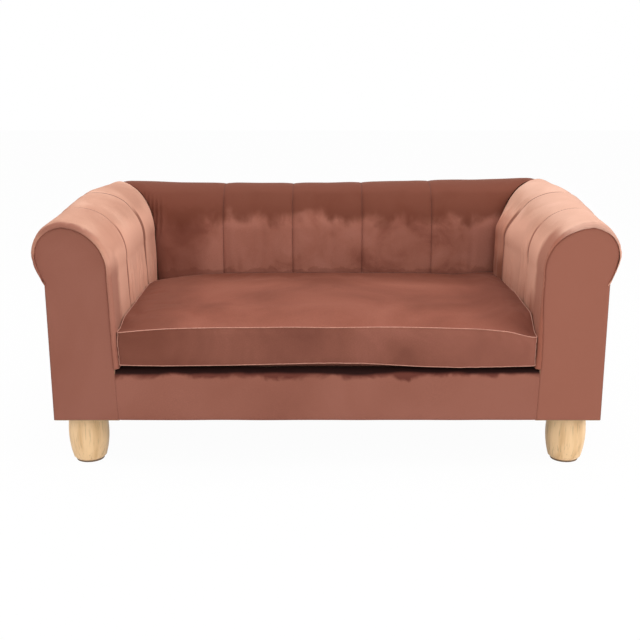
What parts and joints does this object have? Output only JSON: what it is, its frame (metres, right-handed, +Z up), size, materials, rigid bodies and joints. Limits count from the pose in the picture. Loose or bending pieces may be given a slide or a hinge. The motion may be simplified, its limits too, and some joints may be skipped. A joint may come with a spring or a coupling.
{
  "type": "dog sofa bed",
  "caption": "Low upholstered pet sofa with rolled arms, channelled inner back and arms, a loose boxed cushion and turned wooden feet.",
  "frame": {"origin": "on the floor under the middle of the sofa's outer box", "axes": "+Z up, -Y towards the open front where the pet gets on, +X to the right as seen from the front"},
  "size_m": [0.8562, 0.524, 0.385],
  "materials": {
    "velvet": "matte",
    "deck_lining": "matte",
    "dust_cloth": "matte",
    "foam": "matte",
    "felt": "matte",
    "foot_wood": "satin",
    "softwood": "matte",
    "plywood": "matte",
    "fibreboard": "matte",
    "plated_steel": "satin",
    "zip_tape": "matte",
    "zip_metal": "satin"
  },
  "bodies": {
    "frame": {"arm_cover_left": "velvet", "arm_cover_right": "velvet", "arm_facing_board_left": "fibreboard", "arm_facing_board_right": "fibreboard", "arm_facing_cover_left": "velvet", "arm_facing_cover_right": "velvet", "arm_foam_left": "foam", "arm_foam_right": "foam", "arm_front_board_left": "plywood", "arm_front_board_right": "plywood", "arm_inner_panel_left": "fibreboard", "arm_inner_panel_right": "fibreboard", "arm_outer_cover_left": "velvet", "arm_outer_cover_right": "velvet", "arm_outer_panel_left": "fibreboard", "arm_outer_panel_right": "fibreboard", "arm_rear_board_left": "plywood", "arm_rear_board_right": "plywood", "arm_top_rail_left": "softwood", "arm_top_rail_right": "softwood", "back_cover": "velvet", "back_foam": "foam", "back_inner_panel": "fibreboard", "back_outer_cover": "velvet", "back_outer_panel": "fibreboard", "back_rail": "softwood", "back_rib_left": "plywood", "back_rib_middle": "plywood", "back_rib_right": "plywood", "back_top_rail": "softwood", "corner_blocks": "softwood", "corner_post_left": "softwood", "corner_post_right": "softwood", "deck_cloth": "deck_lining", "deck_screws": "plated_steel", "dust_cover": "dust_cloth", "dust_cover_staples": "plated_steel", "foot_bolts": "plated_steel", "foot_front_left": "foot_wood", "foot_front_right": "foot_wood", "foot_glides": "felt", "foot_rear_left": "foot_wood", "foot_rear_right": "foot_wood", "foot_tee_nuts": "plated_steel", "front_rail": "softwood", "front_rail_cover": "velvet", "front_rail_foam": "foam", "seat_deck": "plywood", "side_rail_left": "softwood", "side_rail_right": "softwood"},
    "cushion": {"cushion_foam": "foam", "cushion_top": "velvet", "cushion_bottom": "velvet", "cushion_boxing": "velvet", "zip_tapes": "zip_tape"},
    "zip_slider": {"zip_slider": "zip_metal"}
  },
  "joints": [
    {"name": "cushion_lift", "type": "slide", "parent": "frame", "child": "cushion", "axis": [0, 0, 1], "range_m": [0, 0.26]},
    {"name": "zip_slide", "type": "slide", "parent": "cushion", "child": "zip_slider", "axis": [1, 0, 0], "range_m": [-0.395, 0]}
  ]
}
